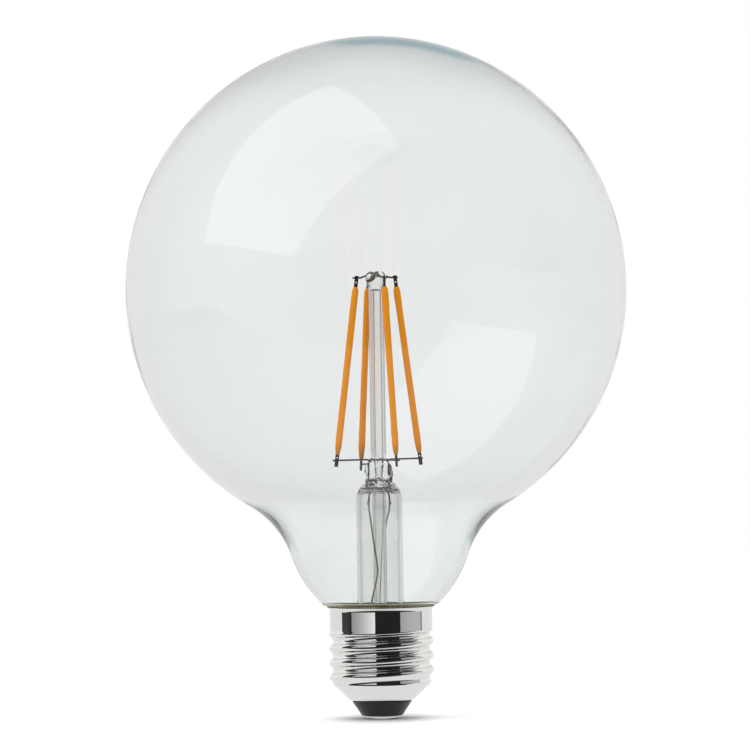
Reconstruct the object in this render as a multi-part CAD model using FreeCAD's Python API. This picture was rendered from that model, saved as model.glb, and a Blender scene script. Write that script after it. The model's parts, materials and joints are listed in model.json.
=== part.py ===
import FreeCAD, Part
import math
import os

Vector = FreeCAD.Vector

# A clear globe bulb with four LED filaments on a glass stem and an E27 screw cap, in millimetres.
# The axis is +Z, the origin is the bottom of the centre contact, and -Y is the front.

# Overall size
overall_length = 170.4
globe_diameter = 125.0
crown_rise = 0.9

# Glass envelope
glass_wall = 0.8
shoulder_radius = 23.9
neck_radius = 28.3
neck_inner_radius = 23.0
neck_seat_slope = 47.3
neck_overhang = 0.61
neck_foot_round = 0.6
neck_bend_radius = 1.5
neck_wall = 1.6
neck_depth = 8.15

# Screw cap, from the contact upwards
contact_flat_diameter = 3.0
contact_head_diameter = 9.4
contact_head_height = 0.75
contact_edge_height = 0.2
contact_pin_diameter = 2.5
contact_pin_length = 5.6
insulator_foot_diameter = 10.2
insulator_diameter = 15.0
insulator_height = 3.8
insulator_lip_gap = 0.15
insulator_clearance = 0.01
insulator_flange_height = 0.9
cap_wall = 0.3
cap_opening_diameter = 14.4
cone_foot_diameter = 16.2
cone_height = 3.9
thread_root_diameter = 24.35
thread_depth = 0.975
thread_pitch = 3.629
thread_length = 13.7
thread_crest_height = 7.2
thread_run_in = 1.4
thread_run_out = 1.2
collar_height = 4.65
rim_flare_width = 0.7
rim_flare_height = 1.0
rim_height = 0.1

# Neck inside the thread, and cement between the neck and the collar
neck_clearance = 0.275
cement_thickness = 1.0
cement_joint = 0.3
cement_depth = 3.6
cement_recess = 0.15

# Glass stem, from the seal upwards
flare_rim_height = 1.2
flare_rim_wall = 1.3
flare_height = 11.0
stem_tube_diameter = 11.5
stem_tube_wall = 1.1
stem_tube_length = 34.8
shoulder_height = 4.8
shoulder_web = 1.7
exhaust_tube_diameter = 3.3
exhaust_tail = 3.5
bore_diameter = 2.0
exhaust_tip_wall = 1.0
exhaust_hole_diameter = 1.2
pinch_width = 6.9
pinch_depth = 4.2
pinch_height = 4.1
pinch_corner_radius = 1.6
pinch_top_round = 0.6
pinch_root = 1.4
post_diameter = 3.85
post_length = 43.7
button_diameter = 5.2
button_top_diameter = 4.4
button_flare_height = 2.2
button_side_height = 1.5
button_round_height = 0.7

# Wires
wire_diameter = 0.45
weld_gap = 0.01
lead_spacing = 4.6
lead_bend_radius = 0.8
lead_overhang = 0.9
lead_run_out = 1.8
arm_height = 1.1
branch_offset = 0.6
branch_clearance = 0.55
branch_turn = 62.0
seal_wire_top_depth = 1.9
seal_wire_straight = 3.4
seal_wire_length = 8.3
seal_wire_spread = 0.4
tail_bend_radius = 6.0
tail_bead_diameter = 0.8
upper_wire_height = 2.8
upper_wire_bow = 0.9
upper_wire_bow_width = 2.4
upper_cross_gap = 0.2
upper_run_out = 1.2
upper_bend_radius = 1.2

# Bends of the two tail wires: degrees about the axis, and how far below the bead
left_tail_bends = ((236.0, 7.0), (261.0, 16.0), (225.0, 24.0))
right_tail_bends = ((57.0, 5.0), (84.0, 16.0), (100.0, 24.0))
tail_foot_angle = 215.0
tail_foot_radius = 4.3
tail_foot_rise = 5.0

# Filaments: 1 left, 2 back, 3 front, 4 right
filament_angles = (203.0, 113.0, 293.0, 23.0)
filament_drops = (0.0, 1.4, 0.0, 0.0)
weld_sides = (-1, -1, 1, 1)
filament_foot_radius = 11.3
filament_top_radius = 5.2
coat_diameter = 1.7
coat_end_diameter = 1.1
coat_taper = 2.6
lower_coat_gap = 1.4
upper_coat_gap = 2.3
tab_width = 0.9
tab_thickness = 0.3
tab_embed = 1.2
tab_hole_diameter = 0.4
lower_tab_overhang = 1.6
upper_tab_overhang = 0.5

# Driver inside the cap
board_diameter = 19.0
board_thickness = 1.0
capacitor_diameter = 5.0
capacitor_length = 6.5
capacitor_offset = 5.2
driver_clearance = 0.6
rectifier_size = (4.7, 3.9, 1.5)
rectifier_angle = 139.0
chip_size = (3.0, 2.5, 1.4)
chip_angle = 319.0
resistor_diameter = 2.3
resistor_length = 3.4
resistor_lead_diameter = 0.5
resistor_lead_seat = 1.5
shell_wire_radius = 8.3
shell_wire_drop = 2.0
shell_wire_angle = 250.0
shell_wire_end_depth = 1.0

# Heights that follow from those sizes
insulator_foot_z = contact_head_height
insulator_top_z = insulator_foot_z + insulator_height
cone_foot_z = insulator_top_z + insulator_lip_gap
thread_bottom_z = cone_foot_z + cone_height
thread_top_z = thread_bottom_z + thread_length
collar_top_z = thread_top_z + collar_height
rim_flare_z = collar_top_z + rim_flare_height
cap_top_z = rim_flare_z + rim_height
seal_z = cap_top_z - neck_depth
flare_top_z = seal_z + flare_height
shoulder_z = seal_z + stem_tube_length
pinch_foot_z = shoulder_z + shoulder_height
pinch_top_z = pinch_foot_z + pinch_height
arm_z = pinch_top_z + arm_height
button_z = pinch_top_z + post_length
upper_wire_z = button_z + upper_wire_height
globe_z = overall_length - globe_diameter / 2 - crown_rise
flange_top_z = cone_foot_z + cap_wall + insulator_flange_height
board_foot_z = flange_top_z + driver_clearance + capacitor_length
board_top_z = board_foot_z + board_thickness
exhaust_tip_z = seal_z - exhaust_tail

# Diameters and radii that follow from those sizes
neck_tube_radius = thread_root_diameter / 2 - cap_wall - neck_clearance
thread_crest_diameter = thread_root_diameter + 2 * thread_depth
collar_diameter = 2 * (neck_tube_radius + cement_thickness + cap_wall)
rim_diameter = collar_diameter + 2 * rim_flare_width
seal_radius = neck_tube_radius - neck_wall
stem_inner_radius = stem_tube_diameter / 2 - stem_tube_wall
tail_ring_radius = (exhaust_tube_diameter / 2 + stem_inner_radius) / 2
wire_radius = wire_diameter / 2
weld_offset = tab_thickness / 2 + wire_radius + weld_gap

AXIS_FOOT = Vector(0, 0, 0)
AXIS = Vector(0, 0, 1)
SEW_TOLERANCE = 0.001
CAP_COLUMN_COUNT = 48
CONE_ROW_COUNT = 6
THREAD_ROW_COUNT = 50
COLLAR_ROW_COUNT = 4
RIM_ROW_COUNT = 3


# Points, edges and solids that the pieces share

def section_point(point):
    """Put a (radius, height) pair in the XZ plane."""
    return Vector(point[0], 0, point[1])


def around(radius, angle, height):
    """Point at a radius and an angle in degrees about the axis."""
    turn = math.radians(angle)
    return Vector(radius * math.cos(turn), radius * math.sin(turn), height)


def line(start, end):
    """Straight edge between two (radius, height) pairs."""
    return Part.LineSegment(section_point(start), section_point(end)).toShape()


def arc_about(centre, start, end):
    """Circular edge about a centre between two (radius, height) pairs, the short way round."""
    middle = section_point(centre)
    first = section_point(start) - middle
    last = section_point(end) - middle
    bisector = (first + last).normalize() * first.Length
    return Part.Arc(middle + first, middle + bisector, middle + last).toShape()


def lines(points):
    """Straight edges through a list of (radius, height) pairs."""
    return [line(a, b) for a, b in zip(points, points[1:])]


def turned(edges):
    """Solid of revolution of a closed outline in the XZ plane."""
    return Part.Face(Part.Wire(edges)).revolve(AXIS_FOOT, AXIS, 360)


def step_towards(start, end, distance):
    """Point at a distance from one (radius, height) pair towards another."""
    length = math.dist(start, end)
    return tuple(a + (b - a) * distance / length for a, b in zip(start, end))


def upright_arc_radius(across, along):
    """Radius of an arc that starts upright and ends so far across and along."""
    return (across ** 2 + along ** 2) / (2 * across)


def rod(diameter, foot_z, top_z, x=0.0, y=0.0):
    """Upright cylinder."""
    return Part.makeCylinder(diameter / 2, top_z - foot_z, Vector(x, y, foot_z))


def bent_wire(points, bend_radius):
    """Round wire along straight runs joined by tangent bends."""
    edges = []
    run_start = points[0]
    for before, corner, after in zip(points, points[1:], points[2:]):
        inward = (corner - before).normalize()
        outward = (after - corner).normalize()
        half_turn = inward.getAngle(outward) / 2
        setback = bend_radius * math.tan(half_turn)
        reach = bend_radius / math.cos(half_turn) - bend_radius
        bend_start = corner - inward * setback
        bend_middle = corner + (outward - inward).normalize() * reach
        bend_end = corner + outward * setback
        edges.append(Part.LineSegment(run_start, bend_start).toShape())
        edges.append(Part.Arc(bend_start, bend_middle, bend_end).toShape())
        run_start = bend_end
    edges.append(Part.LineSegment(run_start, points[-1]).toShape())
    section = Part.Circle(points[0], points[1] - points[0], wire_radius).toShape()
    return Part.Wire(edges).makePipeShell([Part.Wire([section])], True, False)


def cut_by(shape, tools):
    """Shape with the tools taken out of it, as one solid."""
    return shape.cut(list(tools)).Solids[0]


# Glass envelope

def meeting_point(centre_a, radius_a, centre_b, radius_b):
    """Point at two distances from two centres, on the side away from the axis."""
    apart = math.dist(centre_a, centre_b)
    along = (radius_a ** 2 - radius_b ** 2 + apart ** 2) / (2 * apart)
    across = math.sqrt(radius_a ** 2 - along ** 2)
    foot = step_towards(centre_a, centre_b, along)
    towards_b = [(b - a) / apart for a, b in zip(centre_a, centre_b)]
    return foot[0] + towards_b[1] * across, foot[1] - towards_b[0] * across


def outer_foot(neck_centre):
    """Where the neck's outer arc ends, and the edges below: rounded corner, seat on the cement, tube."""
    seat_z = cap_top_z + cement_joint
    round_z = seat_z + neck_foot_round
    reach = neck_radius - neck_foot_round
    round_r = neck_centre[0] + math.sqrt(reach ** 2 - (round_z - neck_centre[1]) ** 2)
    round_start = step_towards(neck_centre, (round_r, round_z), neck_radius)
    bend_r = neck_tube_radius + neck_bend_radius
    bend_z = seat_z - neck_bend_radius
    return round_start, [
        arc_about((round_r, round_z), round_start, (round_r, seat_z)),
        line((round_r, seat_z), (bend_r, seat_z)),
        arc_about((bend_r, bend_z), (bend_r, seat_z), (neck_tube_radius, bend_z)),
        line((neck_tube_radius, bend_z), (neck_tube_radius, seal_z)),
    ]


def inner_foot(neck_centre):
    """Where the neck's inner arc ends, and the edges below: bend and seal."""
    bend_r = seal_radius + neck_bend_radius
    reach = neck_inner_radius + neck_bend_radius
    bend_z = neck_centre[1] - math.sqrt(reach ** 2 - (bend_r - neck_centre[0]) ** 2)
    bend_start = step_towards(neck_centre, (bend_r, bend_z), neck_inner_radius)
    return bend_start, [
        arc_about((bend_r, bend_z), bend_start, (seal_radius, bend_z)),
        line((seal_radius, bend_z), (seal_radius, seal_z)),
    ]


def globe_side(radius, shoulder, shoulder_centre, neck_centre, foot):
    """Edges of one glass surface from the crown down to the seal."""
    centre = (0, globe_z)
    crown = section_point((0, globe_z + radius + crown_rise))
    oval = Part.Ellipse(crown, section_point((radius, globe_z)), section_point(centre))
    shoulder_start = step_towards(centre, shoulder_centre, radius)
    shoulder_end = step_towards(shoulder_centre, neck_centre, shoulder)
    neck_end, foot_edges = foot
    return [
        Part.Arc(oval, 0, math.pi / 2).toShape(),
        arc_about(centre, (radius, globe_z), shoulder_start),
        arc_about(shoulder_centre, shoulder_start, shoulder_end),
        arc_about(neck_centre, shoulder_end, neck_end),
    ] + foot_edges


def globe_surfaces():
    """Outer and inner outlines of the blown globe."""
    radius = globe_diameter / 2
    slope = math.radians(neck_seat_slope)
    seat = (rim_diameter / 2 + neck_overhang, cap_top_z + cement_joint)
    neck_centre = (seat[0] - neck_radius * math.cos(slope), seat[1] + neck_radius * math.sin(slope))
    shoulder_centre = meeting_point(
        neck_centre, neck_radius + shoulder_radius, (0, globe_z), radius + shoulder_radius)
    outer = globe_side(radius, shoulder_radius, shoulder_centre, neck_centre, outer_foot(neck_centre))
    inner_shoulder = shoulder_radius + glass_wall
    inner_centre = step_towards(shoulder_centre, neck_centre, inner_shoulder + neck_inner_radius)
    inner = globe_side(
        radius - glass_wall, inner_shoulder, shoulder_centre, inner_centre, inner_foot(inner_centre))
    return outer, inner


def filled(edges):
    """Solid inside one glass surface, down to the seal."""
    top_z = edges[0].BoundBox.ZMax
    foot_r = edges[-1].BoundBox.XMax
    return turned(edges + lines([(foot_r, seal_z), (0, seal_z), (0, top_z)]))


# Glass stem

def flare_tube():
    """Flare, tube and domed shoulder of the stem."""
    outer_r = stem_tube_diameter / 2
    flare_z = seal_z + flare_rim_height
    flare_foot_r = seal_radius - flare_rim_wall
    outer_bend = upright_arc_radius(seal_radius - outer_r, flare_top_z - flare_z)
    inner_bend = upright_arc_radius(flare_foot_r - stem_inner_radius, flare_top_z - seal_z)
    web_r = exhaust_tube_diameter / 2
    web_z = pinch_foot_z - shoulder_web
    outer_dome = upright_arc_radius(outer_r - web_r, shoulder_height)
    inner_dome = upright_arc_radius(stem_inner_radius - web_r, web_z - shoulder_z)
    return turned([
        line((0, pinch_foot_z), (web_r, pinch_foot_z)),
        arc_about((outer_r - outer_dome, shoulder_z), (web_r, pinch_foot_z), (outer_r, shoulder_z)),
        line((outer_r, shoulder_z), (outer_r, flare_top_z)),
        arc_about((outer_r + outer_bend, flare_top_z), (outer_r, flare_top_z), (seal_radius, flare_z)),
        line((seal_radius, flare_z), (seal_radius, seal_z)),
        line((seal_radius, seal_z), (flare_foot_r, seal_z)),
        arc_about((stem_inner_radius + inner_bend, flare_top_z), (flare_foot_r, seal_z),
                  (stem_inner_radius, flare_top_z)),
        line((stem_inner_radius, flare_top_z), (stem_inner_radius, shoulder_z)),
        arc_about((stem_inner_radius - inner_dome, shoulder_z), (stem_inner_radius, shoulder_z),
                  (web_r, web_z)),
        line((web_r, web_z), (0, web_z)),
        line((0, web_z), (0, pinch_foot_z)),
    ])


def pinch():
    """Flat glass press that holds the lead wires."""
    foot_z = pinch_foot_z - pinch_root
    corner = Vector(-pinch_width / 2, -pinch_depth / 2, foot_z)
    block = Part.makeBox(pinch_width, pinch_depth, pinch_top_z - foot_z, corner)
    uprights = [edge for edge in block.Edges if edge.BoundBox.ZLength > pinch_height]
    block = block.makeFillet(pinch_corner_radius, uprights)
    top_edges = [edge for edge in block.Edges if edge.BoundBox.ZMin > pinch_foot_z]
    return block.makeFillet(pinch_top_round, top_edges)


def post_and_button():
    """Glass post with the button that holds the upper wires."""
    post_r = post_diameter / 2
    button_r = button_diameter / 2
    side_z = button_z + button_flare_height
    round_z = side_z + button_side_height
    return turned(lines([
        (0, pinch_foot_z),
        (post_r, pinch_foot_z),
        (post_r, button_z),
        (button_r, side_z),
        (button_r, round_z),
        (button_top_diameter / 2, round_z + button_round_height),
        (0, round_z + button_round_height),
        (0, pinch_foot_z),
    ]))


def glass_stem(wires):
    """Stem as one piece of melted glass, around the wires sealed into it."""
    web_z = pinch_foot_z - shoulder_web
    exhaust_tube = rod(exhaust_tube_diameter, exhaust_tip_z, web_z)
    bore = rod(bore_diameter, exhaust_tip_z + exhaust_tip_wall, button_z)
    hole_z = arm_z + exhaust_hole_diameter
    exhaust_hole = Part.makeCylinder(
        exhaust_hole_diameter / 2, post_diameter, Vector(0, 0, hole_z), around(1, filament_angles[1], 0))
    stem = flare_tube().fuse([pinch(), post_and_button(), exhaust_tube])
    return cut_by(stem, [bore, exhaust_hole] + wires)


# Filaments and their wires

def weld_point(index, radius, height):
    """Place of a wire's axis beside a filament's tab."""
    angle = filament_angles[index]
    sideways = around(1, angle + 90, 0) * (weld_sides[index] * weld_offset)
    return around(radius, angle, height - filament_drops[index]) + sideways


def filament_frame(index):
    """Placement of a filament: origin at its lower weld, X outward, Z up along the strip."""
    rise = upper_wire_z - arm_z
    lean = math.degrees(math.atan2(filament_foot_radius - filament_top_radius, rise))
    turn = FreeCAD.Rotation(AXIS, filament_angles[index])
    tilt = FreeCAD.Rotation(Vector(0, 1, 0), -lean)
    foot = around(filament_foot_radius, filament_angles[index], arm_z - filament_drops[index])
    return FreeCAD.Placement(foot, turn * tilt)


def filament_length():
    """Distance between a filament's two welds."""
    return math.hypot(filament_foot_radius - filament_top_radius, upper_wire_z - arm_z)


def tab(weld, overhang_end, coat_end, embed_end):
    """Metal strip from its free end to its end in the coat, with a hole beside the weld."""
    low = min(overhang_end, embed_end)
    high = max(overhang_end, embed_end)
    corner = Vector(-tab_width / 2, -tab_thickness / 2, low)
    strip = Part.makeBox(tab_width, tab_thickness, high - low, corner)
    hole_foot = Vector(0, -tab_thickness, (weld + coat_end) / 2)
    hole = Part.makeCylinder(tab_hole_diameter / 2, 2 * tab_thickness, hole_foot, Vector(0, 1, 0))
    return cut_by(strip, [hole])


def coat(foot, top):
    """Phosphor coat with tapered ends."""
    body_r = coat_diameter / 2
    end_r = coat_end_diameter / 2
    return turned(lines([
        (0, foot),
        (end_r, foot),
        (body_r, foot + coat_taper),
        (body_r, top - coat_taper),
        (end_r, top),
        (0, top),
        (0, foot),
    ]))


def filament_pieces():
    """Coat and two tabs of each filament, by node name."""
    length = filament_length()
    coat_foot = lower_coat_gap
    coat_top = length - upper_coat_gap
    lower = tab(0, -lower_tab_overhang, coat_foot, coat_foot + tab_embed)
    upper = tab(length, length + upper_tab_overhang, coat_top, coat_top - tab_embed)
    strip = cut_by(coat(coat_foot, coat_top), [lower, upper])
    pieces = {}
    for index in range(len(filament_angles)):
        frame = filament_frame(index).toMatrix()
        name = f"filament_{index + 1}"
        pieces[name] = strip.transformed(frame)
        pieces[f"{name}_lower_tab"] = lower.transformed(frame)
        pieces[f"{name}_upper_tab"] = upper.transformed(frame)
    return pieces


def upper_wire(start, end, bow):
    """Wire through the button between two opposite filaments, bowed up over its middle."""
    outer_r = filament_top_radius + lead_overhang
    inner_r = filament_top_radius - upper_run_out
    bow_r = upper_wire_bow_width / 2
    bow_z = upper_wire_z + bow
    bow_start = weld_point(start, bow_r, bow_z + filament_drops[start])
    bow_end = weld_point(end, bow_r, bow_z + filament_drops[end])
    return bent_wire([
        weld_point(start, outer_r, upper_wire_z),
        weld_point(start, inner_r, upper_wire_z),
        bow_start,
        bow_end,
        weld_point(end, inner_r, upper_wire_z),
        weld_point(end, outer_r, upper_wire_z),
    ], upper_bend_radius)


def lead_wire(side, index):
    """Wire from the pinch up and out to a filament; the side is -1 for left and 1 for right."""
    lead_x = side * lead_spacing / 2
    return bent_wire([
        Vector(lead_x, 0, pinch_top_z - seal_wire_top_depth),
        Vector(lead_x, 0, arm_z),
        weld_point(index, filament_foot_radius - lead_run_out, arm_z),
        weld_point(index, filament_foot_radius + lead_overhang, arm_z),
    ], lead_bend_radius)


def branch_wire(side, index):
    """Wire from the pinch, round the post, to the filament that the lead doesn't reach."""
    start = Vector(side * lead_spacing / 2, side * branch_offset, pinch_top_z - seal_wire_top_depth)
    round_r = post_diameter / 2 + wire_radius + branch_clearance
    post_angle = branch_turn if side > 0 else branch_turn + 180
    return bent_wire([
        start,
        Vector(start.x, start.y, arm_z),
        around(round_r, post_angle, arm_z),
        weld_point(index, filament_foot_radius - lead_run_out, arm_z),
        weld_point(index, filament_foot_radius + lead_overhang, arm_z),
    ], wire_diameter)


def bead_point(side):
    """Weld bead between a seal wire and its tail."""
    bead_z = pinch_top_z - seal_wire_top_depth - seal_wire_length
    return Vector(side * (lead_spacing / 2 + seal_wire_spread), 0, bead_z)


def seal_wire(side):
    """Wire sealed in the pinch below a lead, down to its bead."""
    lead_x = side * lead_spacing / 2
    top_z = pinch_top_z - seal_wire_top_depth
    return bent_wire([
        Vector(lead_x, 0, top_z),
        Vector(lead_x, 0, top_z - seal_wire_straight),
        bead_point(side),
    ], lead_bend_radius)


def tail_wire(side, bends, foot_angle, neighbour):
    """Wire from a bead down inside the stem tube and through the driver board."""
    bead = bead_point(side)
    points = [bead]
    for angle, drop in bends:
        points.append(around(tail_ring_radius, angle, bead.z - drop))
    points.append(around(tail_foot_radius, foot_angle, board_top_z + tail_foot_rise))
    points.append(around(tail_foot_radius, foot_angle, board_foot_z))
    knot = Part.makeSphere(tail_bead_diameter / 2, bead)
    return cut_by(bent_wire(points, tail_bend_radius).fuse(knot), [neighbour])


# Screw cap

def smooth_step(share):
    """Rise from 0 to 1 with a level start and end."""
    held = min(max(share, 0), 1)
    return held * held * (3 - 2 * held)


def thread_form(angle, height):
    """Radius of the full thread, with round crests and roots."""
    half_depth = (thread_crest_diameter - thread_root_diameter) / 4
    quarter = thread_pitch / 4
    knuckle = (quarter ** 2 + half_depth ** 2) / (2 * half_depth)
    turns = (height - thread_bottom_z - thread_crest_height) / thread_pitch - angle / 360
    from_crest = abs(turns - round(turns)) * thread_pitch
    near = min(from_crest, 2 * quarter - from_crest)
    sag = knuckle - math.sqrt(knuckle ** 2 - near ** 2)
    form = half_depth - sag if from_crest < quarter else sag - half_depth
    return thread_root_diameter / 2 + half_depth + form


def cone_radius(height):
    """Outer radius of the cap's cone."""
    slope = (thread_root_diameter - cone_foot_diameter) / 2 / cone_height
    return cone_foot_diameter / 2 + slope * (height - cone_foot_z)


def cap_radius(angle, height):
    """Outer radius of the cap's sheet: cone, thread that runs in and out, collar and flared rim."""
    root_r = thread_root_diameter / 2
    collar_r = collar_diameter / 2
    if height < thread_bottom_z:
        return cone_radius(height)
    rise = smooth_step((height - thread_bottom_z) / thread_run_in)
    fall = smooth_step((thread_top_z - height) / thread_run_out)
    flare = min(max((height - collar_top_z) / rim_flare_height, 0), 1) ** 2
    threaded_r = root_r + (thread_form(angle, height) - root_r) * rise
    plain_r = collar_r + (rim_diameter / 2 - collar_r) * flare
    return plain_r + (threaded_r - plain_r) * fall


def cap_heights(foot_z):
    """Heights of the rows of poles that shape one side of the cap's sheet."""
    spans = (
        (foot_z, thread_bottom_z, CONE_ROW_COUNT),
        (thread_bottom_z, thread_top_z, THREAD_ROW_COUNT),
        (thread_top_z, collar_top_z, COLLAR_ROW_COUNT),
        (collar_top_z, rim_flare_z, RIM_ROW_COUNT),
        (rim_flare_z, cap_top_z, RIM_ROW_COUNT),
    )
    heights = [low + (high - low) * row / rows for low, high, rows in spans for row in range(rows)]
    return heights + [cap_top_z]


def cap_side(inset, foot_z):
    """Smooth closed face of one side of the cap's sheet."""
    heights = cap_heights(foot_z)
    step = 360 / CAP_COLUMN_COUNT
    pull = 3 / (2 + math.cos(math.radians(step)))
    poles = []
    for column in range(CAP_COLUMN_COUNT):
        angle = column * step
        poles.append([around(pull * (cap_radius(angle, z) - inset), angle, z) for z in heights])
    turn_knots = list(range(CAP_COLUMN_COUNT + 1))
    rise_knots = list(range(len(heights) - 2))
    rise_counts = [4] + [1] * (len(rise_knots) - 2) + [4]
    surface = Part.BSplineSurface()
    surface.buildFromPolesMultsKnots(
        poles, [1] * len(turn_knots), rise_counts, turn_knots, rise_knots, True, False, 3, 3)
    return surface.toShape()


def end_wire(face, height):
    """Round edge of a face at one height, as a wire."""
    return Part.Wire([edge for edge in face.Edges if edge.BoundBox.ZLength < SEW_TOLERANCE
                      and abs(edge.BoundBox.ZMin - height) < SEW_TOLERANCE])


def ring(outer, inner):
    """Flat ring between two round wires."""
    return Part.makeFace([outer, inner], "Part::FaceMakerBullseye")


def cap_shell():
    """Rolled sheet shell with its lip, cone, thread, collar and rim."""
    lip_z = cone_foot_z + cap_wall
    opening_r = cap_opening_diameter / 2
    outside = cap_side(0, cone_foot_z)
    inside = cap_side(cap_wall, lip_z)
    opening = line((opening_r, cone_foot_z), (opening_r, lip_z)).revolve(AXIS_FOOT, AXIS, 360)
    sheet = Part.makeCompound([
        outside,
        inside,
        opening,
        ring(end_wire(outside, cone_foot_z), end_wire(opening, cone_foot_z)),
        ring(end_wire(inside, lip_z), end_wire(opening, lip_z)),
        ring(end_wire(outside, cap_top_z), end_wire(inside, cap_top_z)),
    ])
    sheet.sewShape(SEW_TOLERANCE)
    solid = Part.Solid(sheet.Shells[0])
    if solid.Volume < 0:
        solid.reverse()
    return solid


def cap_insulator(pin, resistor):
    """Insulating foot, through the shell's opening, with a flange inside the cone."""
    opening_r = cap_opening_diameter / 2
    lip_z = cone_foot_z + cap_wall
    inset = cap_wall + insulator_clearance
    body = turned(lines([
        (0, insulator_foot_z),
        (insulator_foot_diameter / 2, insulator_foot_z),
        (insulator_diameter / 2, insulator_top_z),
        (opening_r, insulator_top_z),
        (opening_r, lip_z),
        (cone_radius(lip_z) - inset, lip_z),
        (cone_radius(flange_top_z) - inset, flange_top_z),
        (0, flange_top_z),
        (0, insulator_foot_z),
    ]))
    return cut_by(body, [pin, resistor])


def contact_pin():
    """Pin of the centre contact, pressed into the insulator."""
    return rod(contact_pin_diameter, contact_head_height, contact_head_height + contact_pin_length)


def centre_contact(pin, resistor):
    """Domed contact head with its pin, which holds the resistor's lower lead."""
    flat_r = contact_flat_diameter / 2
    head_r = contact_head_diameter / 2
    edge_z = contact_head_height - contact_edge_height
    dome_z = (head_r ** 2 + edge_z ** 2 - flat_r ** 2) / (2 * edge_z)
    head = turned([
        line((0, 0), (flat_r, 0)),
        arc_about((0, dome_z), (flat_r, 0), (head_r, edge_z)),
        line((head_r, edge_z), (head_r, contact_head_height)),
        line((head_r, contact_head_height), (0, contact_head_height)),
        line((0, contact_head_height), (0, 0)),
    ])
    return cut_by(head.fuse(pin), [resistor])


def base_cement(globe_solid, shell):
    """Cement that fills the space between the neck and the cap, up to the rim."""
    foot_z = cap_top_z - cement_depth
    top_z = cap_top_z + cement_joint
    outer_r = rim_diameter / 2 - cement_recess
    filling = rod(2 * outer_r, foot_z, top_z)
    return max(filling.cut([globe_solid, shell]).Solids, key=lambda piece: piece.Volume)


# Driver

def block_on_board(size, angle):
    """Rectangular component flat on top of the board, with its corners inside the board's edge."""
    length, width, height = size
    radius = (board_diameter - math.hypot(length, width)) / 2 - driver_clearance
    block = Part.makeBox(length, width, height, Vector(-length / 2, -width / 2, board_top_z))
    return block.translated(around(radius, angle, 0))


def fuse_resistor():
    """Resistor on the axis, with leads up into the board and down into the contact's pin."""
    pin_top_z = contact_head_height + contact_pin_length
    middle_z = (max(pin_top_z, flange_top_z) + board_foot_z) / 2
    body = rod(resistor_diameter, middle_z - resistor_length / 2, middle_z + resistor_length / 2)
    leads = rod(resistor_lead_diameter, pin_top_z - resistor_lead_seat, board_top_z)
    return body.fuse(leads).removeSplitter().Solids[0]


def shell_wire(shell):
    """Wire from the board out to the inside of the cap's cone."""
    start = around(shell_wire_radius, shell_wire_angle, board_top_z)
    corner = around(shell_wire_radius, shell_wire_angle, board_foot_z - shell_wire_drop)
    end = around(thread_root_diameter / 2, shell_wire_angle, thread_bottom_z - shell_wire_end_depth)
    wire = bent_wire([start, corner, end], lead_bend_radius)
    pieces = wire.cut(shell).Solids
    return max(pieces, key=lambda piece: piece.Volume)


def driver_board(through):
    """Round board with holes for what passes through it."""
    return cut_by(rod(board_diameter, board_foot_z, board_top_z), through)


# The whole bulb, by node name

def bulb():
    """Every piece of the bulb, by node name."""
    outer, inner = globe_surfaces()
    globe_solid = filled(outer)
    pieces = {"glass_globe": cut_by(globe_solid, [filled(inner)])}
    pieces.update(filament_pieces())

    pieces["upper_support_wire"] = upper_wire(0, 3, upper_wire_bow)
    pieces["upper_cross_wire"] = upper_wire(1, 2, upper_wire_bow - wire_diameter - upper_cross_gap)
    pieces["left_lead_wire"] = lead_wire(-1, 0)
    pieces["right_lead_wire"] = lead_wire(1, 3)
    pieces["left_branch_wire"] = branch_wire(-1, 2)
    pieces["right_branch_wire"] = branch_wire(1, 1)
    pieces["left_seal_wire"] = seal_wire(-1)
    pieces["right_seal_wire"] = seal_wire(1)
    sealed = [shape for name, shape in pieces.items() if name.endswith("_wire")]
    pieces["glass_stem"] = glass_stem(sealed)
    left_tail = tail_wire(-1, left_tail_bends, tail_foot_angle, pieces["left_seal_wire"])
    right_tail = tail_wire(1, right_tail_bends, tail_foot_angle - 180, pieces["right_seal_wire"])
    pieces["left_tail_wire"] = left_tail
    pieces["right_tail_wire"] = right_tail

    shell = cap_shell()
    pin = contact_pin()
    resistor = fuse_resistor()
    pieces["cap_shell"] = shell
    pieces["base_cement"] = base_cement(globe_solid, shell)
    pieces["cap_insulator"] = cap_insulator(pin, resistor)
    pieces["centre_contact"] = centre_contact(pin, resistor)

    pieces["fuse_resistor"] = resistor
    pieces["shell_wire"] = shell_wire(shell)
    pieces["driver_board"] = driver_board([left_tail, right_tail, resistor, pieces["shell_wire"]])
    pieces["bridge_rectifier"] = block_on_board(rectifier_size, rectifier_angle)
    pieces["driver_chip"] = block_on_board(chip_size, chip_angle)
    capacitor_foot_z = board_foot_z - capacitor_length
    pieces["smoothing_capacitor"] = rod(
        capacitor_diameter, capacitor_foot_z, board_foot_z, capacitor_offset, 0)
    return pieces


def main():
    os.makedirs("parts", exist_ok=True)
    for name, shape in bulb().items():
        shape.exportStep(f"parts/{name}.step")


main()
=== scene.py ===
"""Looks of a clear globe bulb with long LED filaments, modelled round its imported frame."""
import json
import math

import bmesh
import bpy
from bpy.props import FloatProperty, FloatVectorProperty, PointerProperty
from mathutils import Matrix, Vector

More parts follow.
